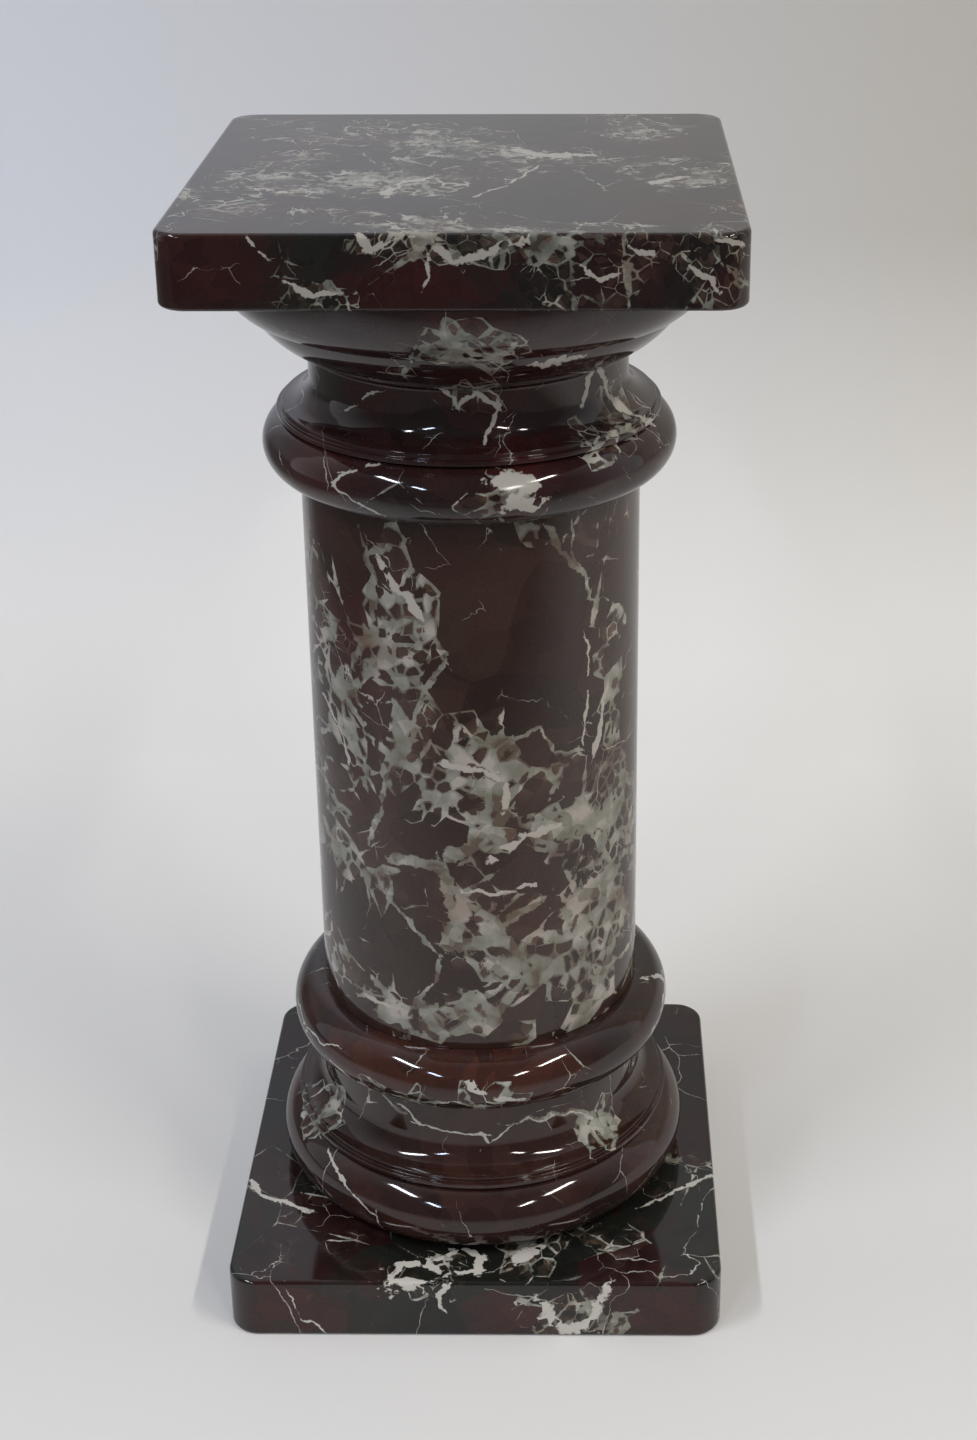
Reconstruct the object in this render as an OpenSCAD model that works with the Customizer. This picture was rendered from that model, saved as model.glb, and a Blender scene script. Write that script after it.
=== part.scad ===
// Short marble pedestal: square plinth, turned base, round shaft, turned capital and square top slab,
// each turned or sawn from its own block and stacked bed to bed. Millimetres, +Z up, origin at the
// centre of the underside.

/* [Pedestal] */
// Height from the floor to the top of the top slab
pedestal_h = 686; // [560:1:1000]

/* [Plinth slab] */
// Side of the square plinth
plinth_w = 300; // [290:1:400]
// Thickness of the plinth
plinth_t = 40; // [20:1:80]
// Radius of the plinth's upright corners
plinth_corner_r = 18; // [4:1:40]

/* [Turned base] */
// Diameter over the base's lower ring
base_ring_d = 260; // [250:1:280]
// Height of the base's lower ring, whose face is a half round
base_ring_t = 45; // [24:1:56]
// Diameter of the base's neck, between the cove and the collar
base_neck_d = 200; // [170:1:210]
// Height of the straight part of the base's neck
base_neck_h = 27; // [10:1:50]
// Diameter over the base's collar, the half round that the shaft stands on
base_collar_d = 238; // [236:1:260]
// Height of the base's collar
base_collar_t = 38; // [20:1:39]

/* [Shaft] */
// Diameter of the plain round shaft
shaft_d = 198; // [150:1:199]

/* [Turned capital] */
// Diameter over the capital's ring
capital_ring_d = 240; // [234:1:260]
// Height of the capital's ring, whose face is a half round
capital_ring_t = 35; // [20:1:36]
// Diameter of the capital's neck
capital_neck_d = 184; // [150:1:188]
// Height of the straight part of the capital's neck
capital_neck_h = 17; // [8:1:40]
// Diameter of the bell where it leaves the neck
bell_foot_d = 192; // [189:1:200]
// Diameter at the lip of the bell's lower swelling
bell_lip_d = 248; // [230:1:252]
// Height of the bell's lower swelling
bell_t = 25; // [15:1:40]
// Diameter at the foot of the bell's upper swelling
echinus_foot_d = 255; // [253:1:270]
// Diameter of the upper swelling under the top slab
echinus_top_d = 293; // [275:1:298]
// Height of the upper swelling
echinus_t = 33; // [20:1:45]

/* [Top slab] */
// Side of the square top slab
top_w = 300; // [299:1:400]
// Thickness of the top slab
top_t = 40; // [20:1:80]
// Radius of the top slab's upright corners
top_corner_r = 16; // [4:1:40]

/* [Small mouldings] */
// Radius of the hollow between each neck and the fillets above its ring
cove_r = 16; // [8:1:18]
// Height of each of the two fillets above a ring
fillet_h = 3; // [1.5:0.5:5]
// How far the lower fillet stands out past the upper one
fillet_step = 3; // [1:0.5:4]
// Radius of the small hollow under the bell
bell_cove_r = 4; // [1:0.5:4]
// Radius of the bell's lower swelling in section
bell_arc_r = 60; // [50:1:120]
// Radius of the bell's upper swelling in section
echinus_arc_r = 45; // [40:1:120]

/* [Hidden] */
$fn = 160;

base_h = base_ring_t + 2 * fillet_h + cove_r + base_neck_h + base_collar_t;
capital_h = capital_ring_t + 2 * fillet_h + cove_r + capital_neck_h + bell_t + echinus_t;
base_z = plinth_t;
shaft_z = base_z + base_h;
top_z = pedestal_h - top_t;
capital_z = top_z - capital_h;
shaft_h = capital_z - shaft_z;

// Half of a section: a ring of height t with a half-round face, its lowest point at z
module ring_section(d, t, z) {
    translate([0, z]) square([(d - t) / 2, t]);
    translate([(d - t) / 2, z + t / 2]) intersection() {
        circle(d = t);
        translate([0, -t / 2]) square([t, t]);
    }
}

// Half of a section: two fillets and a cove that leaves the neck upright, from z upwards
module cove_section(neck_d, z) {
    fillet_r = neck_d / 2 + cove_r;
    translate([0, z]) square([fillet_r + fillet_step, fillet_h]);
    translate([0, z + fillet_h]) square([fillet_r, fillet_h]);
    translate([0, z + 2 * fillet_h]) difference() {
        square([fillet_r, cove_r]);
        translate([fillet_r, cove_r]) circle(r = cove_r);
    }
}

// Half of a section: a swelling of height t at z, an arc of radius r from foot_d up to top_d
module swelling_section(foot_d, top_d, t, r, z) {
    run = (top_d - foot_d) / 2;
    chord = norm([run, t]);
    rise = sqrt(r * r - chord * chord / 4);
    middle = [(foot_d + top_d) / 4, z + t / 2];
    centre = middle + rise * [-t, run] / chord;
    polygon([[0, z], [foot_d / 2, z], [top_d / 2, z + t], [0, z + t]]);
    intersection() {
        translate(centre) circle(r = r);
        translate([0, z]) square([top_d / 2 + r, t]);
    }
}

module plain_slab(w, t, corner_r) {
    linear_extrude(t) {
        square([w, w - 2 * corner_r], center = true);
        square([w - 2 * corner_r, w], center = true);
        for (x = [-1, 1], y = [-1, 1])
            translate([x, y] * (w / 2 - corner_r)) circle(r = corner_r);
    }
}

module plinth_slab() {
    color("#33302d") plain_slab(plinth_w, plinth_t, plinth_corner_r);
}

module turned_base() {
    neck_z = base_ring_t + 2 * fillet_h + cove_r;
    color("#54302c") translate([0, 0, base_z]) rotate_extrude() {
        ring_section(base_ring_d, base_ring_t, 0);
        cove_section(base_neck_d, base_ring_t);
        translate([0, neck_z]) square([base_neck_d / 2, base_neck_h]);
        ring_section(base_collar_d, base_collar_t, neck_z + base_neck_h);
    }
}

module shaft() {
    color("#45383a") translate([0, 0, shaft_z]) cylinder(d = shaft_d, h = shaft_h);
}

module turned_capital() {
    neck_z = capital_ring_t + 2 * fillet_h + cove_r;
    bell_z = neck_z + capital_neck_h;
    color("#4a3a36") translate([0, 0, capital_z]) rotate_extrude() {
        ring_section(capital_ring_d, capital_ring_t, 0);
        cove_section(capital_neck_d, capital_ring_t);
        translate([0, neck_z]) square([capital_neck_d / 2, capital_neck_h]);
        translate([0, bell_z - bell_cove_r]) difference() {
            square([capital_neck_d / 2 + bell_cove_r, bell_cove_r]);
            translate([capital_neck_d / 2 + bell_cove_r, 0]) circle(r = bell_cove_r);
        }
        swelling_section(bell_foot_d, bell_lip_d, bell_t, bell_arc_r, bell_z);
        swelling_section(echinus_foot_d, echinus_top_d, echinus_t, echinus_arc_r, bell_z + bell_t);
    }
}

module top_slab() {
    color("#3a2b2c") translate([0, 0, top_z]) plain_slab(top_w, top_t, top_corner_r);
}

plinth_slab();
turned_base();
shaft();
turned_capital();
top_slab();
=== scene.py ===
# A short turned marble pedestal, put together bed to bed from the floor up: square plinth slab, turned
# base, round shaft, turned capital and square top slab. Metres, +Z up, the front towards -Y.
import math

import bpy
import numpy as np
from mathutils import Matrix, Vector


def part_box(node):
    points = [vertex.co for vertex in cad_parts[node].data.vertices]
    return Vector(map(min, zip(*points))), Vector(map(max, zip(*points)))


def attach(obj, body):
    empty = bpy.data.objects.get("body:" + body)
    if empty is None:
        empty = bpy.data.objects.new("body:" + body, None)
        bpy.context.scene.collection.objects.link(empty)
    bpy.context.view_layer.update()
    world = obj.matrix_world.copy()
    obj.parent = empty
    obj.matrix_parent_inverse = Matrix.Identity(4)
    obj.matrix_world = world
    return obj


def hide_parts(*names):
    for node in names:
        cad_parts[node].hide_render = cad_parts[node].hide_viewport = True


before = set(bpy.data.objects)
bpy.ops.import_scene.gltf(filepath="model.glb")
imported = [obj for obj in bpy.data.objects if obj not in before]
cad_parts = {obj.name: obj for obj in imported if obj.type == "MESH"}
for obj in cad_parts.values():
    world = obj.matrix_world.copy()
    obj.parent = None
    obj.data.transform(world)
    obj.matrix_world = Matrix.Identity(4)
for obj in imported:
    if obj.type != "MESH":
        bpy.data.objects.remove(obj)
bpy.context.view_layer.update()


# ----------------------------------------------------------------------------------------------------------
# Plinth slab: the foot of the pedestal, a square slab of dark green-black and maroon breccia marble, sawn
# from 40 mm stock. Its corners are ground round, its arrises eased and all its faces polished, and it lies
# loose on the floor with the turned base bedded on it.

MM = 0.001


def closed_grid(name, points, material):
    """Mesh of a closed skin: points[i, j] is row i along the section, from pole to pole, and column j round
    it. Quads join neighbouring rows, the last column joins the first, and each end row is one point."""
    rows, columns = points.shape[:2]
    verts = np.vstack([points[0, :1], points[1:-1].reshape(-1, 3), points[-1, :1]])
    index = 1 + np.arange((rows - 2) * columns).reshape(rows - 2, columns)
    onward = np.roll(index, -1, axis=1)
    quads = np.stack([index[:-1], onward[:-1], onward[1:], index[1:]], axis=-1).reshape(-1, 4)
    foot = np.stack([np.zeros(columns, int), onward[0], index[0]], axis=-1)
    head = np.stack([np.full(columns, len(verts) - 1), index[-1], onward[-1]], axis=-1)
    mesh = bpy.data.meshes.new(name)
    mesh.from_pydata(verts.tolist(), [], quads.tolist() + foot.tolist() + head.tolist())
    mesh.polygons.foreach_set("use_smooth", np.ones(len(mesh.polygons), bool))
    mesh.materials.append(material)
    piece = bpy.data.objects.new(name, mesh)
    bpy.context.collection.objects.link(piece)
    return piece


def slab_skin(node, corner_r, ease, chips=()):
    """Points of a square slab that fills a CAD node's box. A ring around it is S * (h - c) + c * N: h its
    half width, c its corner radius, S the corner or the place along a side, N the outward direction. Up the
    section each arris is a quarter circle of radius `ease`, and beyond it the rings shrink to the middle of
    the bed. A chip (x, y, z, reach, depth), in mm, pulls the front top arris in by its depth times e to the
    power of minus the square of distance over reach."""
    corner_points, side_points, arris_points, face_points = 17, 181, 7, 13
    low, high = (np.array(corner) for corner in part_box(node))
    half = (high[0] - low[0]) / 2

    # once around: at each side its corner, then the points between that corner and the next
    swing = np.radians(np.linspace(-45, 45, corner_points))
    run = np.linspace(-1, 1, side_points)[1:-1, None]
    place, out = [], []
    for face in np.radians([0, 90, 180, 270]):
        corner = face + math.pi / 4
        ahead = np.array([-math.sin(face), math.cos(face)])
        onward = np.array([-math.cos(face), -math.sin(face)])
        place += [np.full((len(swing), 2), math.sqrt(2)) * [math.cos(corner), math.sin(corner)],
                  ahead + run * onward]
        out += [np.column_stack([np.cos(corner + swing), np.sin(corner + swing)]),
                np.repeat(ahead[None], len(run), axis=0)]
    place, out = np.vstack(place), np.vstack(out)

    # up the section, how far each ring lies in from the face: on the lower bed the middle, half way out and
    # two guard rings that hold the bed flat, then the lower arris, the face, and the same again on top
    bend = np.radians(np.linspace(0, 90, arris_points))
    guards = ease + np.array([3, 0.4]) * MM
    inset = np.concatenate([[half, half / 2], guards, ease * (1 - np.sin(bend))])
    rise = np.concatenate([np.zeros(4), ease * (1 - np.cos(bend))])
    face_z = np.linspace(low[2] + ease, high[2] - ease, face_points)[1:-1]
    inset = np.concatenate([inset, np.zeros(len(face_z)), inset[::-1]])
    height = np.concatenate([low[2] + rise, face_z, high[2] - rise[::-1]])

    # near the face a ring's corners follow the slab's, and further in they are a tenth of its half width
    to_side = (half - inset)[:, None, None]
    round_by = np.where(inset < corner_r / 2, corner_r - inset, 0.1 * (half - inset))[:, None, None]
    flat = place * (to_side - round_by) + round_by * out
    points = np.dstack([flat, np.repeat(height[:, None], len(place), axis=1)])
    inward = np.array([0, 0.7, -0.7])
    for x, y, z, reach, depth in chips:
        gap = np.linalg.norm(points - np.array([x, y, z]) * MM, axis=-1, keepdims=True)
        points = points + np.exp(-(gap / (reach * MM)) ** 2) * depth * MM * inward
    return points


def linear(colour):
    """A colour written as sRGB hex, turned to the linear values that a shader takes."""
    parts = np.array([int(colour[i:i + 2], 16) for i in (1, 3, 5)]) / 255
    return (*np.where(parts <= 0.04045, parts / 12.92, ((parts + 0.055) / 1.055) ** 2.4), 1.0)


def add(tree, kind, inputs=(), out=0, stops=(), **settings):
    """Adds one node and gives its output `out`. `settings` are its own properties, `inputs` its sockets by
    name or number, each a value or another node's output, and `stops` a colour ramp's places and colours."""
    node = tree.nodes.new(kind)
    for key, value in settings.items():
        setattr(node, key, value)
    for key, value in dict(inputs).items():
        if isinstance(value, bpy.types.NodeSocket):
            tree.links.new(value, node.inputs[key])
        else:
            node.inputs[key].default_value = value
    for number, (along, colour) in enumerate(stops):
        stop = node.color_ramp.elements[number] if number < 2 else node.color_ramp.elements.new(along)
        stop.position = along
        stop.color = linear(colour)
    return node.outputs[out] if node.outputs else None


SPOT_DEPTH = 30


def spot(angle, radius, z, width, height, lean=0):
    """An egg-shaped place on a turned block, in mm and degrees: `angle` round from the front towards +X,
    its half width and half height, and its `lean` clockwise. It goes SPOT_DEPTH into the stone."""
    turn = math.radians(angle)
    centre = (radius * math.sin(turn) * MM, -radius * math.cos(turn) * MM, z * MM)
    return centre, (0, math.radians(lean), turn), (width * MM, SPOT_DEPTH * MM, height * MM)


def flat_spot(x, y, z, along, across, up):
    """An egg-shaped place on a slab, in mm: its centre, then its half sizes in X, Y and Z."""
    return (x * MM, y * MM, z * MM), (0, 0, 0), (along * MM, across * MM, up * MM)


VEIN_DEPTH = 15
VEIN_OVERLAP = 1.1


def vein(points, half_width, lying=False):
    """A vein that runs through points in mm: one long egg-shaped place from each point to a little past the
    next. It goes VEIN_DEPTH into an upright face, or into a level one if it is `lying`."""
    cross = (half_width, VEIN_DEPTH) if lying else (VEIN_DEPTH, half_width)
    stretches = []
    for start, end in zip(np.array(points[:-1], float), np.array(points[1:], float)):
        run = end - start
        length = np.linalg.norm(run)
        x, y, z = (start + end) / 2 * MM
        stretches.append(((x, y, z), (0, -math.asin(run[2] / length), math.atan2(run[1], run[0])),
                          ((length / 2 + half_width) * VEIN_OVERLAP * MM, cross[0] * MM, cross[1] * MM)))
    return stretches


def turned_vein(radius, route, half_width):
    """A vein on a turned block, its route given as (degrees round from the front, height in mm)."""
    return vein([(radius * math.sin(math.radians(angle)), -radius * math.cos(math.radians(angle)), z)
                 for angle, z in route], half_width)


SLAB_FRONT_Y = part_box("plinth_slab")[0][1] / MM


def front_vein(route, half_width):
    """A vein on either slab's front face, SLAB_FRONT_Y, its route given as (x, z) in mm."""
    return vein([(x, SLAB_FRONT_Y, z) for x, z in route], half_width)


def level_vein(z, route, half_width):
    """A vein on a slab's upper face at height z, its route given as (x, y), all in mm."""
    return vein([(x, y, z) for x, y in route], half_width, lying=True)


def within(tree, point, fray, where, strength, soft, frayed=0.0):
    """`strength` within an egg-shaped place and nothing outside it, with an edge `soft` of its size wide.
    The fine noise `fray` moves the edge in or out by up to a fifth of `frayed` times the place's size."""
    centre, turn, half = where
    local = add(tree, "ShaderNodeMapping", {"Vector": point, "Location": centre, "Rotation": turn,
                                            "Scale": half}, vector_type="TEXTURE")
    out = add(tree, "ShaderNodeVectorMath", {0: local}, out="Value", operation="LENGTH")
    out = add(tree, "ShaderNodeMath", {0: fray, 1: frayed, 2: out}, operation="MULTIPLY_ADD")
    edge = 1 + frayed / 2
    return add(tree, "ShaderNodeMapRange",
               {0: out, 1: edge + soft / 2, 2: edge - soft / 2, 3: 0, 4: strength})


def ragged_shift(tree, block, lump, reach, detail):
    """A shift along each axis of reach * (noise - 0.5), the noise's lumps `lump` across, both in mm."""
    noise = add(tree, "ShaderNodeTexNoise", {"Vector": block, "Scale": 1 / (lump * MM), "Detail": detail},
                out="Color")
    centred = add(tree, "ShaderNodeVectorMath", {0: noise, 1: (0.5, 0.5, 0.5)}, operation="SUBTRACT")
    return add(tree, "ShaderNodeVectorMath", {0: centred, "Scale": reach * MM}, operation="SCALE")


def clasts(tree, torn, size):
    """Voronoi cells `size` mm across. Gives how far a point is from its cell's edge, as a share of the
    size, the cell's three random numbers, and the place that the cell grew from."""
    sized = {"Vector": torn, "Scale": 1 / (size * MM)}
    edge = add(tree, "ShaderNodeTexVoronoi", sized, feature="DISTANCE_TO_EDGE")
    cell = add(tree, "ShaderNodeTexVoronoi", sized, out="Color")
    dice = add(tree, "ShaderNodeSeparateColor", {0: cell})
    return edge, dice.node.outputs, cell.node.outputs["Position"]


def how_crushed(tree, swirled, middle, fray, crush, dense, plain):
    """How far the stone is crushed, from 0 where it is sound to 1 where it is all seams and crumbs: clouds
    of up to `crush`, more in each `dense` place, which fades out, and none in a `plain` one, which ends
    sharply; and uneven every 24 mm."""
    clouds = add(tree, "ShaderNodeTexNoise", {"Vector": swirled, "Scale": 1 / (85 * MM), "Detail": 2})
    crushed = add(tree, "ShaderNodeMapRange", {0: clouds, 1: 0.42, 2: 0.72, 3: 0, 4: crush})
    for where, strength in dense:
        more = within(tree, middle, fray, where, strength, soft=0.6)
        crushed = add(tree, "ShaderNodeMath", {0: crushed, 1: more}, operation="ADD")
    for where in plain:
        less = within(tree, middle, fray, where, strength=1.2, soft=0.2)
        crushed = add(tree, "ShaderNodeMath", {0: crushed, 1: less}, operation="SUBTRACT", use_clamp=True)
    uneven = add(tree, "ShaderNodeTexNoise", {"Vector": swirled, "Scale": 1 / (24 * MM), "Detail": 2})
    uneven = add(tree, "ShaderNodeMapRange", {0: uneven, 1: 0.36, 2: 0.62, 3: 0.35, 4: 1.2})
    return add(tree, "ShaderNodeMath", {0: crushed, 1: uneven}, operation="MULTIPLY")


def healed_seams(tree, block, swirled, fray, crushed, edges):
    """Where calcite fills the cracks, 0 or 1 with soft edges. A seam opens along the edges of each size of
    cell, from nothing to its widest as the crush grows. It swells and pinches every 16 mm, or for the
    smallest cells comes and goes every 30 mm, and its sides are jagged."""
    swell = add(tree, "ShaderNodeTexNoise", {"Vector": block, "Scale": 1 / (16 * MM), "Detail": 2})
    swell = add(tree, "ShaderNodeMapRange", {0: swell, 1: 0.38, 2: 0.62, 3: 0.6, 4: 1.4})
    jag = add(tree, "ShaderNodeMapRange", {0: fray, 1: 0.35, 2: 0.65, 3: 0.5, 4: 1.5})
    crumbly = add(tree, "ShaderNodeTexNoise", {"Vector": swirled, "Scale": 1 / (30 * MM), "Detail": 1})
    crumbly = add(tree, "ShaderNodeMapRange", {0: crumbly, 1: 0.42, 2: 0.56})
    # widest half seam, as a share of the cell, and the crush at which it starts and at which it is widest;
    # a seam is solid to three quarters of its half width, and fades over the rest
    openings = ((0.13, 0.10, 1.1, swell), (0.40, 0.20, 1.25, swell), (0.13, 0.40, 1.0, crumbly))
    calcite = 0.0
    for edge, (widest, starts, full, varied) in zip(edges, openings):
        width = add(tree, "ShaderNodeMapRange", {0: crushed, 1: starts, 2: full, 3: 0, 4: widest})
        width = add(tree, "ShaderNodeMath", {0: width, 1: varied}, operation="MULTIPLY")
        width = add(tree, "ShaderNodeMath", {0: width, 1: jag}, operation="MULTIPLY")
        inner = add(tree, "ShaderNodeMath", {0: width, 1: 0.75}, operation="MULTIPLY")
        seam = add(tree, "ShaderNodeMapRange", {0: edge, 1: width, 2: inner})
        calcite = add(tree, "ShaderNodeMath", {0: seam, 1: calcite}, operation="MAXIMUM")
    return calcite


def hair_threads(tree, block, ripped, thread):
    """White threads up to 1.4 mm across, along the edges of loose cells 75 mm across, pinched out along
    most of their length every 30 mm; `thread`, 0 to 1, is how much of them is left."""
    edge = add(tree, "ShaderNodeTexVoronoi", {"Vector": ripped, "Scale": 1 / (75 * MM)},
               feature="DISTANCE_TO_EDGE")
    pinch = add(tree, "ShaderNodeTexNoise", {"Vector": block, "Scale": 1 / (30 * MM), "Detail": 2})
    width = add(tree, "ShaderNodeMapRange", {0: pinch, 1: 0.62 - 0.2 * thread, 2: 0.75, 3: 0, 4: 0.009})
    return add(tree, "ShaderNodeMapRange", {0: edge, 1: width, 2: 0.0})


BRUISE = "#6B5547"
RUST = "#7C6550"


def clast_colour(tree, block, middle, fray, cloud, crushed, dice, grounds, blush, iron):
    """Colour of the dark stone: one of `grounds` to a large cell, bruised brown where it is crushed,
    flushed with `blush` in iron-rich clouds and `iron` places, and lighter or darker by the smaller cells
    and a 1.2 mm grain."""
    ramp = [((number + 0.5) / len(grounds), ground) for number, ground in enumerate(grounds)]
    ground = add(tree, "ShaderNodeValToRGB", {0: dice[0][0]}, stops=ramp)
    ground.node.color_ramp.interpolation = "CONSTANT"
    bruised = add(tree, "ShaderNodeMath", {0: crushed, 1: dice[2][0]}, operation="MULTIPLY")
    bruised = add(tree, "ShaderNodeMapRange", {0: bruised, 1: 0.1, 2: 0.7, 3: 0, 4: 0.8})
    ground = add(tree, "ShaderNodeMix", {0: bruised, 6: ground, 7: linear(BRUISE)}, out=2, data_type="RGBA")
    flush = add(tree, "ShaderNodeMapRange", {0: cloud, 1: 0.54, 2: 0.74, 3: 0, 4: 0.5})
    for where in iron:
        rich = within(tree, middle, fray, where, strength=0.75, soft=0.8)
        flush = add(tree, "ShaderNodeMath", {0: flush, 1: rich}, operation="MAXIMUM")
    ground = add(tree, "ShaderNodeMix", {0: flush, 6: ground, 7: linear(blush)}, out=2, data_type="RGBA")
    shade = add(tree, "ShaderNodeMapRange", {0: dice[1][1], 3: 0.82, 4: 1.18})
    grain = add(tree, "ShaderNodeTexNoise", {"Vector": block, "Scale": 1 / (1.2 * MM), "Detail": 2})
    grain = add(tree, "ShaderNodeMapRange", {0: grain, 1: 0.3, 2: 0.7, 3: 0.85, 4: 1.15})
    shade = add(tree, "ShaderNodeMath", {0: shade, 1: grain}, operation="MULTIPLY")
    return add(tree, "ShaderNodeMix", {0: 1.0, 6: ground, 7: shade}, out=2, data_type="RGBA",
               blend_type="MULTIPLY")


def calcite_colour(tree, block, cloud, dice, healing):
    """Colour of the calcite: the four `healing` colours from muddy to milky in 22 mm clouds, a little
    different in each crumb, and stained with rust in the iron-rich clouds."""
    milk = add(tree, "ShaderNodeTexNoise", {"Vector": block, "Scale": 1 / (22 * MM), "Detail": 4})
    chalk = add(tree, "ShaderNodeMapRange", {0: dice[2][0], 3: -0.13, 4: 0.13})
    milk = add(tree, "ShaderNodeMath", {0: milk, 1: chalk}, operation="ADD")
    healed = add(tree, "ShaderNodeValToRGB", {0: milk}, stops=list(zip((0.36, 0.45, 0.58, 0.70), healing)))
    rust = add(tree, "ShaderNodeMapRange", {0: cloud, 1: 0.52, 2: 0.68, 3: 0, 4: 0.45})
    return add(tree, "ShaderNodeMix", {0: rust, 6: healed, 7: linear(RUST)}, out=2, data_type="RGBA")


def breccia(name, cut_from, grounds, healing, white, crush, dense, white_veins, green_veins=(), plain=(),
            iron=(), lumps=(46, 13, 5), loose_crumbs=0.24, thread=0.5, blush="#3E1C19"):
    """Polished breccia marble: dark angular clasts of old mudstone and serpentine, crushed and healed with
    pale calcite. The eye sees plain dark stone that breaks up, in places, into crumbs set in grey-green and
    white, a few hair-thin white threads, and a mirror polish. The stone is three sizes of Voronoi cells,
    `lumps` mm across, swirled, torn or ripped by noise. `cut_from` is where in the bed the block was cut,
    and `loose_crumbs` the share of the smallest cells that lie dark in the calcite."""
    material = bpy.data.materials.new(name)
    material.use_nodes = True
    tree = material.node_tree
    tree.nodes.clear()
    here = add(tree, "ShaderNodeTexCoord", out="Object")
    block = add(tree, "ShaderNodeVectorMath", {0: here, 1: cut_from}, operation="ADD")

    swirl = ragged_shift(tree, block, lump=70, reach=24, detail=0)
    tear = ragged_shift(tree, block, lump=9, reach=2, detail=2)
    rip = ragged_shift(tree, block, lump=14, reach=12, detail=4)
    swirled = add(tree, "ShaderNodeVectorMath", {0: block, 1: swirl}, operation="ADD")
    torn = add(tree, "ShaderNodeVectorMath", {0: swirled, 1: tear}, operation="ADD")
    ripped = add(tree, "ShaderNodeVectorMath", {0: swirled, 1: rip}, operation="ADD")
    here_ripped = add(tree, "ShaderNodeVectorMath", {0: here, 1: rip}, operation="ADD")
    edges, dice, seeds = zip(*(clasts(tree, torn, size) for size in lumps))

    # the middle of the second size of cell that a point is in, so that every place breaks along the clasts
    to_middle = add(tree, "ShaderNodeVectorMath", {0: seeds[1], 1: torn}, operation="SUBTRACT")
    middle = add(tree, "ShaderNodeVectorMath", {0: here, 1: to_middle}, operation="ADD")
    fray = add(tree, "ShaderNodeTexNoise", {"Vector": block, "Scale": 1 / (11 * MM), "Detail": 6,
                                            "Roughness": 0.7})

    # calcite: the healed seams less the crumbs afloat in them, and then the green veins
    crushed = how_crushed(tree, swirled, middle, fray, crush, dense, plain)
    calcite = healed_seams(tree, block, swirled, fray, crushed, edges)
    crumbs = add(tree, "ShaderNodeMapRange", {0: edges[2], 1: 0.10, 2: 0.14})
    loose = add(tree, "ShaderNodeMath", {0: dice[2][0], 1: loose_crumbs}, operation="LESS_THAN")
    crumbs = add(tree, "ShaderNodeMath", {0: crumbs, 1: loose}, operation="MULTIPLY")
    calcite = add(tree, "ShaderNodeMath", {0: calcite, 1: crumbs}, operation="SUBTRACT", use_clamp=True)
    for where in green_veins:
        solid = within(tree, here_ripped, fray, where, strength=1.0, soft=0.15, frayed=3.0)
        calcite = add(tree, "ShaderNodeMath", {0: calcite, 1: solid}, operation="MAXIMUM")

    # white: hair threads and solid veins, with one crumb in sixteen broken out of them
    whites = hair_threads(tree, block, ripped, thread)
    for where in white_veins:
        solid = within(tree, here_ripped, fray, where, strength=1.0, soft=0.2, frayed=4.0)
        whites = add(tree, "ShaderNodeMath", {0: whites, 1: solid}, operation="MAXIMUM")
    kept = add(tree, "ShaderNodeMath", {0: dice[2][1], 1: 0.06}, operation="GREATER_THAN")
    whites = add(tree, "ShaderNodeMath", {0: whites, 1: kept}, operation="MULTIPLY")

    cloud = add(tree, "ShaderNodeTexNoise", {"Vector": swirled, "Scale": 1 / (45 * MM), "Detail": 3})
    ground = clast_colour(tree, block, middle, fray, cloud, crushed, dice, grounds, blush, iron)
    healed = calcite_colour(tree, block, cloud, dice, healing)
    body = add(tree, "ShaderNodeMix", {0: calcite, 6: ground, 7: healed}, out=2, data_type="RGBA")
    body = add(tree, "ShaderNodeMix", {0: whites, 6: body, 7: linear(white)}, out=2, data_type="RGBA")

    # polish: a mirror on the clasts, a little softer over the calcite, on faces that the rubbing left with
    # a slow swell 18 mm across and fine pits, drawn 1.5 mm across to show; in all 0.12 mm high
    veined = add(tree, "ShaderNodeMath", {0: calcite, 1: whites}, operation="MAXIMUM")
    gloss = add(tree, "ShaderNodeMapRange", {0: veined, 3: 0.07, 4: 0.14})
    hand = add(tree, "ShaderNodeTexNoise", {"Vector": here, "Scale": 1 / (18 * MM), "Detail": 1})
    pits = add(tree, "ShaderNodeTexNoise", {"Vector": here, "Scale": 1 / (1.5 * MM), "Detail": 1})
    height = add(tree, "ShaderNodeMath", {0: pits, 1: 0.04, 2: hand}, operation="MULTIPLY_ADD")
    relief = add(tree, "ShaderNodeBump", {"Strength": 0.5, "Distance": 0.12 * MM, "Height": height})
    shader = add(tree, "ShaderNodeBsdfPrincipled", {"Base Color": body, "Roughness": gloss, "IOR": 1.52,
                                                    "Normal": relief})
    add(tree, "ShaderNodeOutputMaterial", {"Surface": shader})
    return material


PLINTH_CORNER_R = 18 * MM
PLINTH_TOP_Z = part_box("plinth_slab")[1][2] / MM
SLAB_EASE = 2.5 * MM

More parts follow.
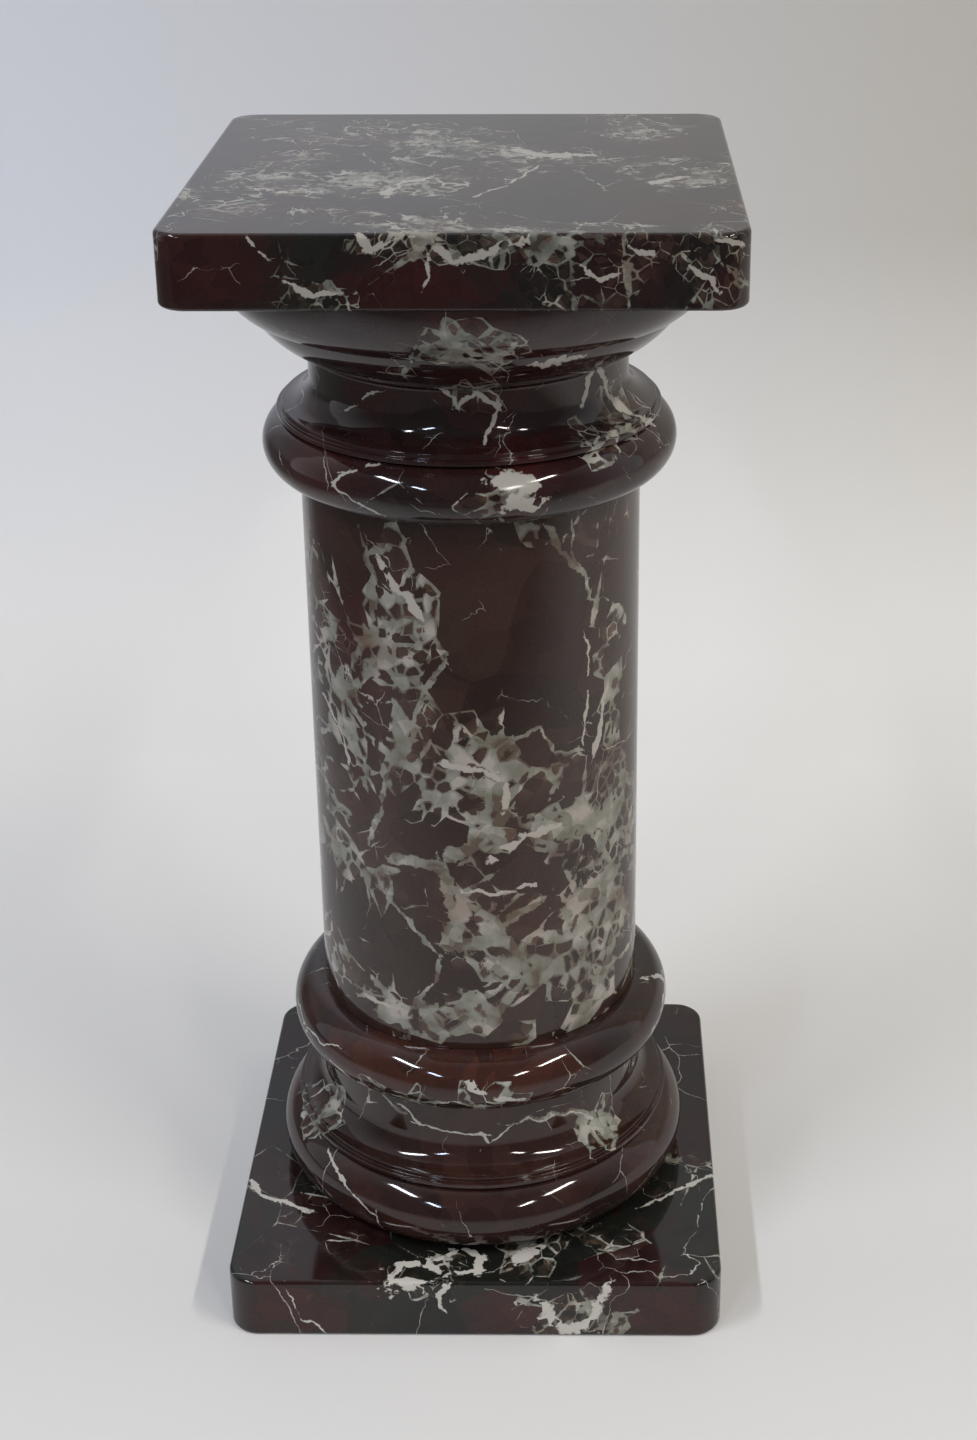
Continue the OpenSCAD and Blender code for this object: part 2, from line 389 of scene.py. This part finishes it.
# Near-black green and maroon, with white veins over the top and a crushed grey-green patch in front of it.
plinth_stone = breccia(
    "polished_breccia_marble_plinth", cut_from=(0.31, 0.12, 0.40),
    grounds=("#1E201C", "#261918", "#1C1B18", "#2C1919", "#20201C"),
    healing=("#4A443C", "#6E7067", "#94958A", "#BFBCB3"), white="#CFCBC2", crush=0.3, thread=1.0,
    dense=[(flat_spot(-30, -138, 38, 30, 16, 14), 0.35), (flat_spot(62, -150, 16, 34, 20, 18), 0.6),
           (flat_spot(32, -126, 40, 14, 18, 20), 0.7), (flat_spot(80, -108, 40, 26, 20, 20), 0.35),
           (flat_spot(125, -50, 40, 24, 30, 20), 0.2)],
    plain=[flat_spot(-50, -150, 10, 30, 12, 10), flat_spot(118, -150, 14, 26, 14, 12)],
    iron=[flat_spot(-110, -150, 20, 36, 20, 20), flat_spot(115, -148, 16, 30, 14, 20),
          flat_spot(18, -150, 16, 24, 14, 16)],
    white_veins=[*level_vein(PLINTH_TOP_Z, [(-150, -52), (-141, -66), (-118, -78), (-106, -84)], 2.0),
                 *level_vein(PLINTH_TOP_Z, [(-24, -147), (-50, -148), (-46, -133), (-32, -130),
                                            (-22, -139)], 2.2),
                 *level_vein(PLINTH_TOP_Z, [(-24, -130), (-12, -119), (4, -126), (2, -138),
                                            (-10, -141)], 2.2),
                 *front_vein([(-16, 38), (-22, 30), (-18, 20)], 1.6),
                 *level_vein(PLINTH_TOP_Z, [(26, -128), (38, -117)], 4.0),
                 *front_vein([(40, 24), (52, 8), (66, 6)], 4.2),
                 *front_vein([(70, 8), (78, 30)], 4.2),
                 *front_vein([(-112, 32), (-105, 14), (-92, 4)], 0.6),
                 *level_vein(PLINTH_TOP_Z, [(100, -80), (125, -62), (150, -46)], 1.4)],
)
plinth = closed_grid("plinth_block", slab_skin("plinth_slab", PLINTH_CORNER_R, SLAB_EASE), plinth_stone)
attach(plinth, "root")
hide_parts("plinth_slab")


# ----------------------------------------------------------------------------------------------------------
# Turned base: one block of dark red-brown breccia marble, turned on a lathe to a fat ring, two fillets, a
# cove, a plain neck and a rounded collar, then polished. Its flat foot is bedded on the plinth slab.

def line(start, end):
    """A straight stretch of a section, from one (r, z) to the next, in mm."""
    return np.array([start, end], float)


def arc(middle, radius, start, end, step=1.5):
    """A round stretch of a section about `middle`, in mm, between two angles in degrees from +r towards +z,
    with a point about every `step` mm and never fewer than five."""
    count = max(5, round(abs(math.radians(end - start)) * radius / step))
    angle = np.radians(np.linspace(start, end, count))
    return np.array(middle) + radius * np.column_stack([np.cos(angle), np.sin(angle)])


def turned_skin(parts, columns=288, ease=1.4):
    """Points of a turned block: its section, pole to pole, turned about Z. The section's parts are joined
    end to end, and each point moves to the mean of the outline over `ease` mm of its length, which rounds
    every arris and quirk, as polishing does. Rows lie on the parts' own points and close to each corner."""
    outline = np.vstack(parts)
    length = np.concatenate([[0], np.cumsum(np.hypot(*np.diff(outline, axis=0).T))])
    keep = np.concatenate([[True], np.diff(length) > 1e-6])
    outline, length = outline[keep], length[keep]
    heading = np.arctan2(*np.diff(outline, axis=0).T)
    bend = np.abs((np.diff(heading) + math.pi) % (2 * math.pi) - math.pi)
    corners = length[1:-1][bend > math.radians(15)]
    close = np.array([-0.75, -0.5, -0.35, -0.2, -0.07, 0.07, 0.2, 0.35, 0.5, 0.75]) * ease
    rows = np.unique(np.concatenate([length, (corners[:, None] + close).ravel()]).round(3))
    rows = rows[(rows > ease) & (rows < length[-1] - ease)]
    rows = rows[np.concatenate([[True], np.diff(rows) > 0.05])]

    # a stretch's mean is the outline's running total at its end less that at its start, over its length
    fine = np.linspace(0, length[-1], 20000)
    drawn = np.column_stack([np.interp(fine, length, outline[:, k]) for k in (0, 1)])
    total = np.vstack([[0, 0], np.cumsum((drawn[1:] + drawn[:-1]) / 2 * np.diff(fine)[:, None], axis=0)])
    low, high = rows - ease / 2, rows + ease / 2
    mean = np.column_stack([(np.interp(high, fine, total[:, k]) - np.interp(low, fine, total[:, k])) / ease
                            for k in (0, 1)])
    section = np.vstack([outline[:1], mean, outline[-1:]]) * MM
    angle = np.linspace(0, 2 * math.pi, columns, endpoint=False)
    r, z = section[:, :1], section[:, 1:]
    return np.dstack([r * np.cos(angle), r * np.sin(angle), np.repeat(z, columns, axis=1)])


def ring(outer_r, low_z, thick):
    """The half-round edge of a ring that is `thick` high and starts at low_z."""
    return arc((outer_r - thick / 2, low_z + thick / 2), thick / 2, -90, 90)


FILLET = 3
COVE_R = 16
COVE_RISE_H = 2 * FILLET + COVE_R


def cove_rise(neck_r, z):
    """Two stepped fillets, each FILLET high and wide, and a quarter-round cove that leaves the neck
    upright, from z up to z + COVE_RISE_H."""
    outer = neck_r + COVE_R
    return [line((outer + FILLET, z), (outer + FILLET, z + FILLET)),
            line((outer, z + FILLET), (outer, z + 2 * FILLET)),
            arc((outer, z + COVE_RISE_H), COVE_R, 270, 180)]


base_low, base_high = (np.array(corner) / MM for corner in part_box("turned_base"))
BASE_RING_H = 45
BASE_NECK_R = 100
BASE_COLLAR_R, BASE_COLLAR_H = 119, 38
base_ring_top = base_low[2] + BASE_RING_H
base_collar_foot = base_high[2] - BASE_COLLAR_H
base_section = [line((0, base_low[2]), (base_high[0] - BASE_RING_H / 2, base_low[2])),
                ring(base_high[0], base_low[2], BASE_RING_H),
                *cove_rise(BASE_NECK_R, base_ring_top),
                line((BASE_NECK_R, base_ring_top + COVE_RISE_H), (BASE_NECK_R, base_collar_foot)),
                ring(BASE_COLLAR_R, base_collar_foot, BASE_COLLAR_H),
                line((BASE_NECK_R, base_high[2]), (0, base_high[2]))]

# Dark red-brown and mostly sound, with fine white and grey-green veins round the neck and the collar.
# Its brown iron flush, stronger on the collar's front, is partly iron stain and partly painted sheen round
# the collar's highlights.
base_stone = breccia(
    "polished_breccia_marble_base", cut_from=(1.27, 0.55, 0.83),
    grounds=("#33221F", "#2D1F1C", "#37231E", "#302120", "#291F1C"),
    healing=("#5F564C", "#7F8277", "#9A9C90", "#C2BFB6"), white="#C4C0B7", crush=0.22,
    dense=[(spot(47, 108, 101, 18, 12), 0.9), (spot(-66, 112, 92, 24, 16), 0.6),
           (spot(6, 118, 152, 16, 8), 0.6), (spot(-25, 112, 148, 26, 8), 0.5),
           (spot(75, 112, 120, 20, 20), 0.4)],
    # partly painted sheen: the browner blush and the collar's two iron places also stand in for the glow
    # round its highlights
    blush="#4A2A21",
    iron=[spot(5, 112, 162, 60, 12), spot(-30, 112, 158, 40, 12)],
    green_veins=[*turned_vein(101, [(14, 117), (30, 117), (44, 106)], 2.0),
                 *turned_vein(108, [(-62, 150), (-48, 138), (-34, 128), (-27, 118)], 1.5),
                 *turned_vein(112, [(-30, 146), (-16, 142), (-6, 147), (6, 143)], 1.3)],
    white_veins=[*turned_vein(119, [(-2, 161), (5, 153), (14, 147)], 2.0),
                 *turned_vein(110, [(-52, 150), (-30, 140), (-26, 128)], 1.0),
                 *turned_vein(100, [(-28, 124), (-20, 114), (2, 111), (5, 105), (12, 117), (31, 116),
                                    (44, 106)], 0.7),
                 *turned_vein(116, [(80, 170), (88, 160), (70, 152), (62, 140)], 1.3),
                 *turned_vein(129, [(-52, 82), (-36, 70), (-28, 62), (-27, 50)], 0.7),
                 *turned_vein(116, [(-78, 160), (-64, 156), (-48, 160)], 0.6)],
)
base = closed_grid("base_block", turned_skin(base_section), base_stone)
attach(base, "root")
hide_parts("turned_base")


# ----------------------------------------------------------------------------------------------------------
# Shaft: a plain round drum of the same breccia marble, turned true and polished, and standing on the base's
# collar. It is the most broken stone of the five, with slabs of maroon caught in grey-green and white.

shaft_low, shaft_high = (np.array(corner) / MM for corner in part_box("shaft"))
SHAFT_R = shaft_high[0]
shaft_section = [line((0, shaft_low[2]), (SHAFT_R, shaft_low[2])),
                 line((SHAFT_R, shaft_low[2]), (SHAFT_R, shaft_high[2])),
                 line((SHAFT_R, shaft_high[2]), (0, shaft_high[2]))]


def shaft_spot(angle, z, width, height, lean=0):
    """An egg-shaped place on the shaft, in the terms of `spot`."""
    return spot(angle, SHAFT_R, z, width, height, lean)


def shaft_vein(route, half_width):
    """A vein on the shaft, in the terms of `turned_vein`."""
    return turned_vein(SHAFT_R, route, half_width)


# Brown maroon, half of it crushed to grey-green and milky crumbs and broad ragged seams.
shaft_stone = breccia(
    "polished_breccia_marble_shaft", cut_from=(0.74, 1.61, 0.22),
    grounds=("#35241F", "#3A2923", "#2F221E", "#3C2B24", "#352620"),
    healing=("#64564A", "#7F7D70", "#95958A", "#B9B0A7"), white="#C0B9B0", crush=0.8, lumps=(60, 22, 8),
    loose_crumbs=0.4,
    dense=[(shaft_spot(-21, 468, 20, 55), 0.75), (shaft_spot(-15, 385, 24, 30), 0.6),
           (shaft_spot(54, 400, 12, 60), 0.7), (shaft_spot(-6, 352, 40, 20), 0.6),
           (shaft_spot(48, 490, 10, 24), 0.6), (shaft_spot(40, 312, 26, 22), 1.5),
           (shaft_spot(8, 312, 26, 12, lean=-30), 0.9),
           (shaft_spot(2, 250, 26, 18), 1.1), (shaft_spot(45, 262, 26, 20), 1.1),
           (shaft_spot(30, 225, 22, 20), 0.8),
           (shaft_spot(-38, 282, 30, 17), 0.9), (shaft_spot(0, 196, 60, 16), 0.7),
           (shaft_spot(48, 195, 22, 18), 0.7), (shaft_spot(-48, 375, 18, 30), 0.45),
           (shaft_spot(-36, 215, 12, 16), 0.5)],
    plain=[shaft_spot(18, 452, 32, 60, lean=-8), shaft_spot(30, 395, 16, 34, lean=-10),
           shaft_spot(-23, 452, 9, 17), shaft_spot(-8, 414, 13, 14), shaft_spot(-20, 319, 15, 20),
           shaft_spot(18, 297, 15, 11, lean=-20), shaft_spot(24, 194, 16, 18), shaft_spot(-14, 257, 11, 13),
           shaft_spot(-36, 240, 12, 14)],
    iron=[shaft_spot(-42, 400, 22, 60), shaft_spot(-42, 340, 20, 30)],
    green_veins=[*shaft_vein([(-26, 297), (-10, 300), (2, 314), (12, 330)], 4.2),
                 *shaft_vein([(-10, 300), (-7, 280), (-5, 262), (-8, 245)], 4.4),
                 *shaft_vein([(-8, 245), (3, 246), (14, 262), (26, 272)], 3.8),
                 *shaft_vein([(27, 314), (40, 316), (54, 306)], 7.5),
                 *shaft_vein([(36, 260), (46, 268), (56, 258)], 6.5),
                 *shaft_vein([(8, 232), (18, 228)], 6.0),
                 *shaft_vein([(-34, 274), (-24, 262), (-18, 248), (-11, 236), (-14, 218), (-20, 202)], 1.6),
                 *shaft_vein([(40, 184), (50, 200), (60, 226), (64, 256)], 2.8),
                 *shaft_vein([(14, 244), (20, 222), (12, 205), (6, 188)], 3.0),
                 *shaft_vein([(-38, 300), (-31, 330), (-28, 355), (-18, 380), (-15, 405), (-6, 430),
                              (-13, 452)], 1.8),
                 *shaft_vein([(-42, 420), (-33, 440), (-31, 470), (-36, 500)], 1.6),
                 *shaft_vein([(-4, 392), (8, 374), (24, 384), (30, 366), (43, 360)], 1.4),
                 *shaft_vein([(45, 330), (55, 350), (62, 372)], 2.2),
                 *shaft_vein([(28, 507), (33, 490), (42, 472), (44, 455)], 1.6),
                 *shaft_vein([(38, 507), (37, 490), (42, 472)], 1.2)],
    white_veins=[*shaft_vein([(-29, 486), (-22, 470), (-14, 456)], 3.0),
                 *shaft_vein([(-8, 363), (6, 361), (12, 352), (12, 338)], 2.2),
                 *shaft_vein([(43, 432), (44, 404), (42, 362)], 0.9),
                 *shaft_vein([(54, 400), (50, 376), (46, 352)], 2.0),
                 *shaft_vein([(-44, 195), (-36, 192), (-28, 194)], 1.4),
                 *shaft_vein([(8, 304), (20, 316), (30, 318)], 2.6),
                 *shaft_vein([(0, 282), (14, 279), (24, 284)], 1.2),
                 *shaft_vein([(-60, 384), (-50, 370), (-46, 352)], 1.2)],
)
shaft = closed_grid("shaft_block", turned_skin(shaft_section), shaft_stone)
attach(shaft, "root")
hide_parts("shaft")


# ----------------------------------------------------------------------------------------------------------
# Turned capital: one block of maroon breccia marble, bedded on the shaft's head. It is turned to a ring, two
# fillets and a cove, a short neck, a bell and an echinus that spreads under the top slab, then polished.

capital_low, capital_high = (np.array(corner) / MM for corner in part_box("turned_capital"))
CAPITAL_RING_R, CAPITAL_RING_H = 120, 35
CAPITAL_NECK_R, CAPITAL_NECK_H = 92, 17
BELL_COVE_R = 4
BELL_FOOT_R, BELL_LIP_R, BELL_H, BELL_ARC_R = 96, 124, 25, 60
ECHINUS_FOOT_R, ECHINUS_H, ECHINUS_ARC_R = 127.5, 33, 45


def swelling(foot, head, radius):
    """A swelling between two points of a section: the arc of `radius` that bulges outwards and down."""
    foot, head = np.array(foot, float), np.array(head, float)
    chord = head - foot
    span = np.hypot(*chord)
    rise = math.sqrt(radius ** 2 - span ** 2 / 4)
    middle = (foot + head) / 2 + rise * np.array([-chord[1], chord[0]]) / span
    start, end = (math.degrees(math.atan2(p[1] - middle[1], p[0] - middle[0])) for p in (foot, head))
    return arc(middle, radius, start, end)


capital_ring_top = capital_low[2] + CAPITAL_RING_H
capital_neck_z = capital_ring_top + COVE_RISE_H
bell_z = capital_neck_z + CAPITAL_NECK_H
lip_z = bell_z + BELL_H
capital_section = [line((0, capital_low[2]), (CAPITAL_RING_R - CAPITAL_RING_H / 2, capital_low[2])),
                   ring(CAPITAL_RING_R, capital_low[2], CAPITAL_RING_H),
                   *cove_rise(CAPITAL_NECK_R, capital_ring_top),
                   line((CAPITAL_NECK_R, capital_neck_z), (CAPITAL_NECK_R, bell_z - BELL_COVE_R)),
                   arc((CAPITAL_NECK_R + BELL_COVE_R, bell_z - BELL_COVE_R), BELL_COVE_R, 180, 90),
                   swelling((BELL_FOOT_R, bell_z), (BELL_LIP_R, lip_z), BELL_ARC_R),
                   swelling((ECHINUS_FOOT_R, lip_z), (capital_high[0], lip_z + ECHINUS_H), ECHINUS_ARC_R),
                   line((capital_high[0], capital_high[2]), (0, capital_high[2]))]

# Dark maroon and mostly sound, with short white veins and a crushed patch at the front of the echinus.
capital_stone = breccia(
    "polished_breccia_marble_capital", cut_from=(0.15, 0.93, 1.36),
    grounds=("#312021", "#2A1C1B", "#361F1F", "#271D1B", "#2F2122"),
    healing=("#544C43", "#77796F", "#93948A", "#B9B6AD"), white="#BDB9B0", crush=0.2,
    dense=[(spot(3, 134, 622, 28, 14), 0.9), (spot(4, 96, 582, 18, 12), 0.6),
           (spot(12, 118, 535, 22, 11), 0.85), (spot(60, 104, 560, 20, 20), 0.5),
           (spot(42, 112, 552, 14, 12), 0.5), (spot(-14, 118, 600, 20, 8), 0.4)],
    iron=[spot(-45, 112, 540, 30, 24), spot(18, 104, 548, 26, 12), spot(-34, 92, 578, 26, 14)],
    white_veins=[*turned_vein(92, [(-6, 588), (-2, 578), (5, 585), (13, 573), (8, 560)], 1.5),
                 *turned_vein(120, [(20, 607), (30, 608)], 2.6),
                 *turned_vein(97, [(54, 586), (62, 566), (66, 552), (76, 548)], 2.6),
                 *turned_vein(94, [(50, 588), (46, 572)], 1.8),
                 *turned_vein(104, [(68, 580), (76, 562), (72, 546)], 0.6),
                 *turned_vein(119, [(8, 544), (18, 540), (13, 528), (22, 530)], 3.4),
                 *turned_vein(119, [(-23, 549), (-33, 543), (-36, 534), (-29, 527), (-20, 519)], 0.8),
                 *turned_vein(93, [(-30, 581), (-37, 574), (-46, 566)], 0.6)],
)
capital = closed_grid("capital_block", turned_skin(capital_section), capital_stone)
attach(capital, "root")
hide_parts("turned_capital")


# ----------------------------------------------------------------------------------------------------------
# Top slab: a square slab of breccia marble, sawn, eased and polished like the plinth's and bedded on the
# capital to carry a vase or a bust. Its front arris has a few small nicks.

TOP_CORNER_R = 16 * MM
TOP_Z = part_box("top_slab")[1][2] / MM
# nicks in the front top arris, in mm: where each is, how far it reaches and how deep it is
top_nicks = ((-44, SLAB_FRONT_Y, TOP_Z, 1.6, 1.2), (-33, SLAB_FRONT_Y, TOP_Z, 1.2, 0.9),
             (-20, SLAB_FRONT_Y, TOP_Z, 2.0, 1.4))

# Maroon at the left and green-black at the right, broken in patches, with bright calcite on its upper face.
top_stone = breccia(
    "polished_breccia_marble_top", cut_from=(0.52, 0.36, 0.90),
    grounds=("#271818", "#211C1A", "#2C1818", "#1E1F1C", "#261A18"),
    healing=("#453F38", "#66685F", "#87887E", "#A8A49B"), white="#B0ABA2", crush=0.42,
    lumps=(46, 9, 4), blush="#381816",
    dense=[(flat_spot(6, -150, 682, 52, 22, 12), 0.7), (flat_spot(50, 34, 686, 36, 20, 25), 0.4),
           (flat_spot(-4, 46, 686, 40, 24, 25), 0.5), (flat_spot(-40, -46, 686, 42, 30, 25), 0.5),
           (flat_spot(112, -30, 686, 30, 24, 25), 0.5), (flat_spot(100, -150, 678, 42, 18, 20), 0.1),
           (flat_spot(-90, 30, 686, 24, 16, 20), 0.4), (flat_spot(-60, -105, 686, 24, 14, 20), 0.35),
           (flat_spot(-115, -90, 686, 16, 18, 20), 0.4), (flat_spot(100, 90, 686, 30, 30, 20), 0.25),
           (flat_spot(-100, -30, 686, 34, 34, 25), 0.42), (flat_spot(-60, 90, 686, 70, 36, 25), 0.42),
           (flat_spot(-38, -120, 686, 24, 20, 20), 0.45), (flat_spot(-62, -150, 652, 20, 20, 9), 0.45)],
    plain=[flat_spot(-125, -150, 662, 30, 14, 22), flat_spot(70, -62, 686, 36, 40, 20),
           flat_spot(-10, -95, 686, 34, 20, 20)],
    iron=[flat_spot(-125, -150, 668, 40, 30, 26), flat_spot(-20, -150, 660, 40, 14, 12)],
    white_veins=[*level_vein(TOP_Z, [(9, -67), (26, -40), (42, 4)], 1.0),
                 *level_vein(TOP_Z, [(26, 46), (44, 28), (68, 30)], 5.0),
                 *level_vein(TOP_Z, [(-18, -26), (-34, -40), (-38, -66)], 3.0),
                 *level_vein(TOP_Z, [(104, -40), (118, -28)], 3.5),
                 *level_vein(TOP_Z, [(-110, -52), (-94, -60)], 2.5),
                 *front_vein([(-46, 684), (-38, 678), (-25, 683)], 1.7),
                 *front_vein([(-8, 681), (2, 672), (18, 676), (36, 684)], 2.2),
                 *front_vein([(-10, 674), (-14, 660)], 0.8),
                 *front_vein([(-99, 682), (-90, 675)], 1.1),
                 *front_vein([(66, 668), (74, 663), (84, 666)], 1.3),
                 *front_vein([(90, 680), (100, 674)], 1.5),
                 *front_vein([(118, 670), (128, 664), (132, 656)], 1.2),
                 *front_vein([(132, 684), (144, 680)], 1.3),
                 *front_vein([(-82, 660), (-70, 655), (-58, 657)], 1.4)],
)
top = closed_grid("top_block", slab_skin("top_slab", TOP_CORNER_R, SLAB_EASE, top_nicks), top_stone)
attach(top, "root")
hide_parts("top_slab")


# ----------------------------------------------------------------------------------------------------------
# Studio: a pale matt paper sweep that is the floor and rises behind the pedestal as the backdrop, a row of
# two ceiling strip lamps to each side in front, and soft room light that is darker on the camera's side.

def sweep(material):
    """The paper sweep: a floor that runs back, bends up in a quarter circle, and rises."""
    front, back, bend_r, high, wide = -1.6, 1.0, 0.35, 2.6, 3.2
    bend = np.linspace(0, math.pi / 2, 17)
    y = np.concatenate([[front, 0], back - bend_r + bend_r * np.sin(bend), [back]])
    z = np.concatenate([[0, 0], bend_r - bend_r * np.cos(bend), [high]])
    verts = [(x, float(along), float(up)) for along, up in zip(y, z) for x in (-wide, 0.0, wide)]
    faces = [(3 * i + j, 3 * i + j + 1, 3 * i + j + 4, 3 * i + j + 3)
             for i in range(len(y) - 1) for j in (0, 1)]
    mesh = bpy.data.meshes.new("paper_sweep")
    mesh.from_pydata(verts, [], faces)
    mesh.polygons.foreach_set("use_smooth", np.ones(len(mesh.polygons), bool))
    mesh.materials.append(material)
    sheet = bpy.data.objects.new("paper_sweep", mesh)
    bpy.context.collection.objects.link(sheet)
    return sheet


def backdrop_paper(name):
    """Matt backdrop paper: near white on the floor, and up the wall painted light and shade, cool and light
    at the left and warm and darker at the right.
    It is painted shade, dull brown, in front and far to the left, for the polish to mirror. Towards the back
    it glows a little, but only to the camera and in the polish. From behind, the camera sees through it."""
    material = bpy.data.materials.new(name)
    material.use_nodes = True
    tree = material.node_tree
    tree.nodes.clear()
    here = add(tree, "ShaderNodeTexCoord", out="Object")
    x, y, z = add(tree, "ShaderNodeSeparateXYZ", {0: here}).node.outputs

    # painted light and shade: the wall is cool and light at the left and warm and darker at the right
    across = add(tree, "ShaderNodeMapRange", {0: x, 1: -0.5, 2: 0.6})
    wall_painted_light_and_shade = add(tree, "ShaderNodeMix", {0: across, 6: linear("#D8DBE3"), 7: linear("#BAB6AD")}, out=2,
                    data_type="RGBA")
    upright = add(tree, "ShaderNodeMapRange", {0: z, 1: 0.02, 2: 0.4})
    paper_and_painted_wall_light = add(tree, "ShaderNodeMix", {0: upright, 6: linear("#E2E1DF"), 7: wall_painted_light_and_shade}, out=2,
                    data_type="RGBA")
    # painted shade: the paper turns dull brown in front and far to the left, for the polish to mirror dark
    in_front = add(tree, "ShaderNodeMapRange", {0: y, 1: -0.3, 2: -0.9})
    beside = add(tree, "ShaderNodeMapRange", {0: x, 1: -0.6, 2: -1.1})
    painted_shade_mask = add(tree, "ShaderNodeMath", {0: in_front, 1: beside}, operation="MAXIMUM")
    paper_with_painted_shade = add(tree, "ShaderNodeMix", {0: painted_shade_mask, 6: paper_and_painted_wall_light, 7: linear("#625D59")}, out=2,
               data_type="RGBA")

    # the glow: strongest at the wall's foot, and in the polish stronger the higher up the wall it mirrors
    eye = add(tree, "ShaderNodeLightPath", out="Is Camera Ray")
    mirrored = add(tree, "ShaderNodeMapRange", {0: z, 1: 0.4, 2: 0.85, 3: 0.3, 4: 1.5})
    polish = add(tree, "ShaderNodeMath", {0: eye.node.outputs["Is Glossy Ray"], 1: mirrored},
                 operation="MULTIPLY")
    watched = add(tree, "ShaderNodeMath", {0: eye, 1: polish}, operation="MAXIMUM")
    further = add(tree, "ShaderNodeMapRange", {0: y, 1: -0.1, 2: 0.6, 3: 0.08, 4: 0.33})
    lower = add(tree, "ShaderNodeMapRange", {0: z, 1: 0.15, 2: 0.9, 3: 1.0, 4: 0.7})
    lift = add(tree, "ShaderNodeMath", {0: further, 1: lower}, operation="MULTIPLY")
    lift = add(tree, "ShaderNodeMath", {0: watched, 1: lift}, operation="MULTIPLY")
    shader = add(tree, "ShaderNodeBsdfPrincipled", {"Base Color": paper_with_painted_shade, "Roughness": 0.9,
                                                    "Emission Color": paper_and_painted_wall_light, "Emission Strength": lift})

    back_face = add(tree, "ShaderNodeNewGeometry", out="Backfacing")
    from_behind = add(tree, "ShaderNodeMath", {0: back_face, 1: eye}, operation="MULTIPLY")
    see_through = add(tree, "ShaderNodeBsdfTransparent")
    one_sided = add(tree, "ShaderNodeMixShader", {0: from_behind, 1: shader, 2: see_through})
    add(tree, "ShaderNodeOutputMaterial", {"Surface": one_sided})
    return material


sweep(backdrop_paper("matt_backdrop_paper"))

# Ceiling strips that lie along Y, the left ones a little bluer. They make the soft streaks in the polish.
STRIP_LENGTH, STRIP_WIDTH, STRIP_WATTS = 1.2, 0.14, 36
STRIP_ASIDE, STRIP_UP = 1.6, 2.5
NEAR_STRIP_Y, FAR_STRIP_Y = -1.2, -3.3
for side, near_tint, far_tint in ((-1, "#F4F7FF", "#D8E4FF"), (1, "#FFF8EE", "#FFF8EE")):
    for strip_y, tint in ((NEAR_STRIP_Y, near_tint), (FAR_STRIP_Y, far_tint)):
        light = bpy.data.lights.new("ceiling_strip", "AREA")
        light.shape = "RECTANGLE"
        light.size = STRIP_LENGTH
        light.size_y = STRIP_WIDTH
        light.energy = STRIP_WATTS
        light.color = linear(tint)[:3]
        lamp = bpy.data.objects.new("ceiling_strip", light)
        lamp.location = (side * STRIP_ASIDE, strip_y, STRIP_UP)
        lamp.rotation_euler = (0, 0, math.pi / 2)
        bpy.context.collection.objects.link(lamp)

# Room light, a tenth as bright on the camera's side as at the back. The camera meets it only past the
# paper's edges and through its back, and sees it pale there.
ROOM_DARK, ROOM_BRIGHT, ROOM_SEEN = 0.10, 1.0, 0.6
world = bpy.data.worlds.new("studio_room")
world.use_nodes = True
bpy.context.scene.world = world
room = world.node_tree
room.nodes.clear()
toward = add(room, "ShaderNodeTexCoord", out="Generated")
toward_back = add(room, "ShaderNodeSeparateXYZ", {0: toward}, out="Y")
lightness = add(room, "ShaderNodeMapRange", {0: toward_back, 1: -0.4, 2: 0.6, 3: ROOM_DARK, 4: ROOM_BRIGHT})
straight = add(room, "ShaderNodeLightPath", out="Is Camera Ray")
pale = add(room, "ShaderNodeMath", {0: straight, 1: ROOM_SEEN}, operation="MULTIPLY")
lightness = add(room, "ShaderNodeMath", {0: lightness, 1: pale}, operation="MAXIMUM")
room_light = add(room, "ShaderNodeBackground", {"Color": linear("#F4F6FA"), "Strength": lightness})
add(room, "ShaderNodeOutputWorld", {"Surface": room_light})


# ----------------------------------------------------------------------------------------------------------
# Camera: standing in front, a little above the top slab and looking down on it. It is turned to the left,
# tipped down and rolled by the three small angles, in radians.

CAMERA_AT = (0.0664, -1.2360, 0.9615)
TURN, DOWN, ROLL = 0.0125, 0.3882, -0.0044
lens = bpy.data.cameras.new("camera")
lens.lens = 56.2
lens.sensor_width = 36
lens.shift_x = -0.0484
lens.shift_y = -0.1179
camera = bpy.data.objects.new("camera", lens)
camera.matrix_world = (Matrix.Translation(CAMERA_AT) @ Matrix.Rotation(TURN, 4, "Z")
                       @ Matrix.Rotation(math.pi / 2 - DOWN, 4, "X") @ Matrix.Rotation(ROLL, 4, "Z"))
bpy.context.collection.objects.link(camera)
bpy.context.scene.camera = camera
bpy.context.scene.view_settings.view_transform = "Standard"
